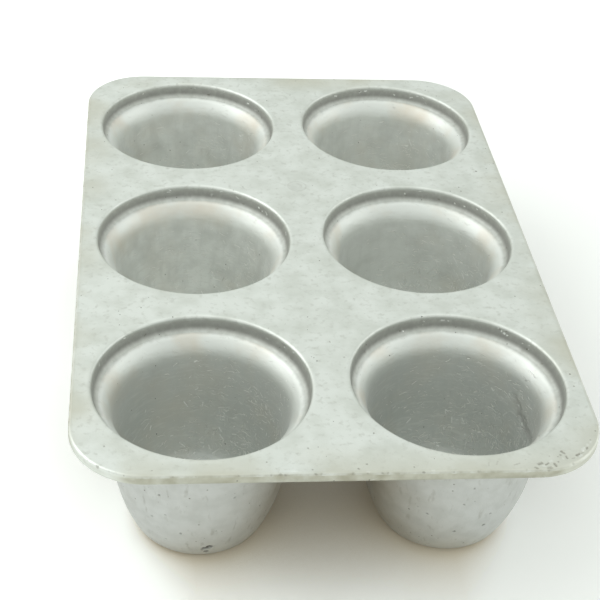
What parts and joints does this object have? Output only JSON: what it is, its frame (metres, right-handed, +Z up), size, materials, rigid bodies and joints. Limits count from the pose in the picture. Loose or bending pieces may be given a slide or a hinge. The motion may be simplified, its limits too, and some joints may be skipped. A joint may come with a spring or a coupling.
{
  "type": "popover pan",
  "caption": "Cast aluminium popover pan: a flat rounded deck with deep, tapered, flat-footed cups that hang from stepped round mouths.",
  "frame": {"origin": "on the surface the pan stands on, under the middle of the deck", "axes": "+Z up, out of the cup mouths; +Y along the deck's long side, towards the back row; +X to the right"},
  "size_m": [0.21, 0.32, 0.072],
  "materials": {
    "cast_aluminium": "satin as-cast, worn"
  },
  "bodies": {
    "root": {"deck_plate": "cast_aluminium", "cup_front_left": "cast_aluminium", "cup_front_right": "cast_aluminium", "cup_middle_left": "cast_aluminium", "cup_middle_right": "cast_aluminium", "cup_back_left": "cast_aluminium", "cup_back_right": "cast_aluminium"}
  },
  "joints": []
}
